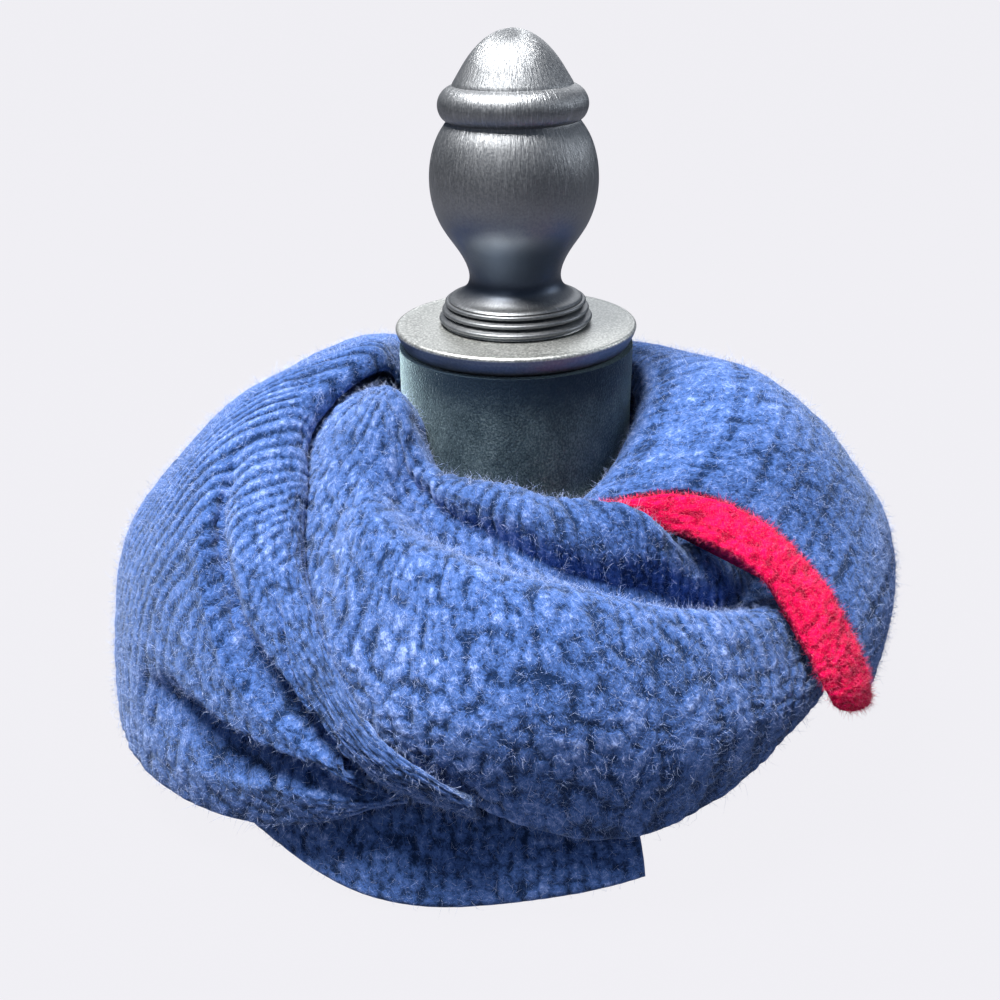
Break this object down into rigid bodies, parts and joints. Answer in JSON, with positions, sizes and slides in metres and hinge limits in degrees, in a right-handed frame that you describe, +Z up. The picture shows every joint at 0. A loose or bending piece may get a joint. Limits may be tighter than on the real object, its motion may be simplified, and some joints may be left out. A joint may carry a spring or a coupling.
{
  "type": "knitted scarf on a table-top dress form",
  "caption": "Chunky fuzzy-knit scarf with a contrasting end band, wound twice round the neck of a table-top dress form with a turned cap and finial.",
  "frame": {"origin": "on the axis of the form's neck, on the flat underside of its base", "axes": "+Z up along the neck's axis, -Y towards the front, +X towards the viewer's right"},
  "size_m": [0.3924, 0.3289, 0.3475],
  "materials": {
    "blue_knit": "chunky brushed knit, matt with a pale nap",
    "red_knit": "brushed knit, matt",
    "form_cloth": "short-pile cloth, matt",
    "cap_metal": "dark pewter, satin, rubbed in streaks"
  },
  "bodies": {
    "root": {"form_bust": "form_cloth", "cap_plate": "cap_metal", "cap_collar": "cap_metal", "finial": "cap_metal", "under_wrap": "blue_knit", "front_tail": "blue_knit", "front_wrap": "blue_knit", "right_wrap": "blue_knit", "back_wrap": "blue_knit", "left_wrap": "blue_knit", "end_band": "red_knit"}
  },
  "joints": []
}
